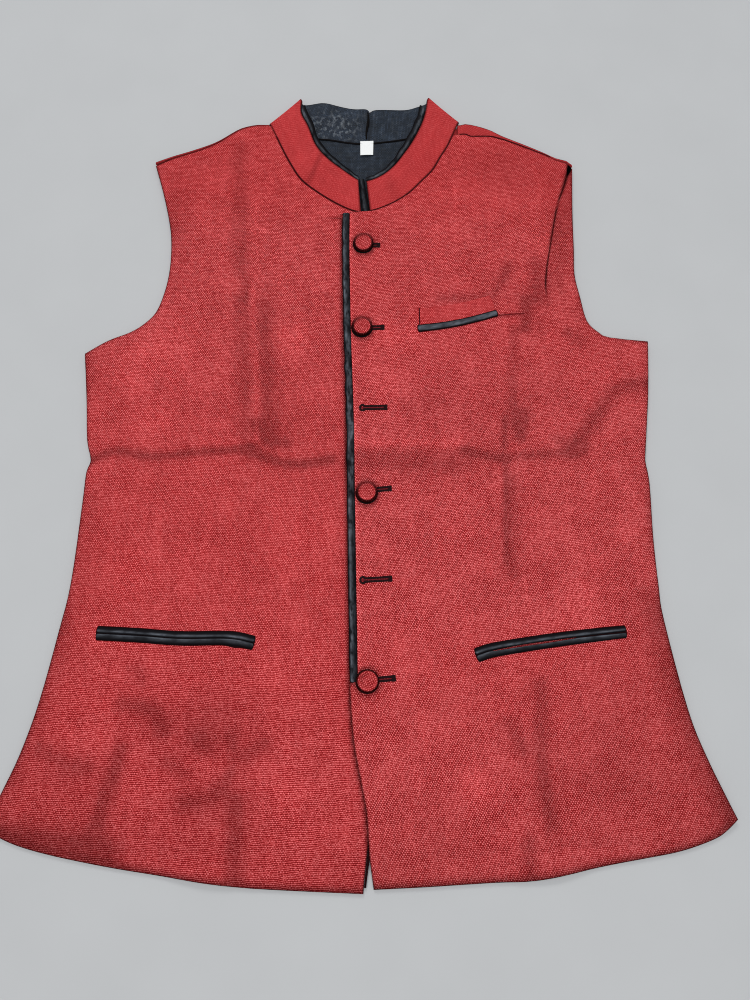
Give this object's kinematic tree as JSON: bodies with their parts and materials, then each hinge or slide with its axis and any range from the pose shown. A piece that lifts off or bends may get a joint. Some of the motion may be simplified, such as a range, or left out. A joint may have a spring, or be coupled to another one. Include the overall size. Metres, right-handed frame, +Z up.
{
  "type": "nehru jacket",
  "caption": "Sleeveless band-collar jacket laid flat with its front up, buttoned, with piped edges, a breast pocket and two hip pockets.",
  "frame": {"origin": "centre of the bounding box in plan, on the surface that the jacket lies on", "axes": "+Y from the hem to the collar, +X towards the wearer's left side (the breast pocket side), +Z up out of the front"},
  "size_m": [0.626, 0.7635, 0.0162],
  "materials": {
    "red_slub_weave": "matt red and black slubby plain weave",
    "black_satin": "black satin with a soft sheen",
    "slate_lining": "dark slate slubby lining",
    "covered_button": "button covered in dark red weave",
    "white_tag": "bare white woven tag"
  },
  "bodies": {
    "root": {"back": "red_slub_weave", "front_left": "red_slub_weave", "front_right": "red_slub_weave", "collar": "red_slub_weave", "chest_welt": "red_slub_weave", "front_piping": "black_satin", "front_facing": "black_satin", "collar_piping_left": "black_satin", "collar_piping_right": "black_satin", "collar_end_piping": "black_satin", "chest_piping": "black_satin", "pocket_left_upper_jet": "black_satin", "pocket_left_lower_jet": "black_satin", "pocket_right_upper_jet": "black_satin", "pocket_right_lower_jet": "black_satin", "collar_lining": "slate_lining", "back_lining": "slate_lining", "button_1": "covered_button", "button_2": "covered_button", "button_4": "covered_button", "button_6": "covered_button", "size_tag": "white_tag"}
  },
  "joints": []
}
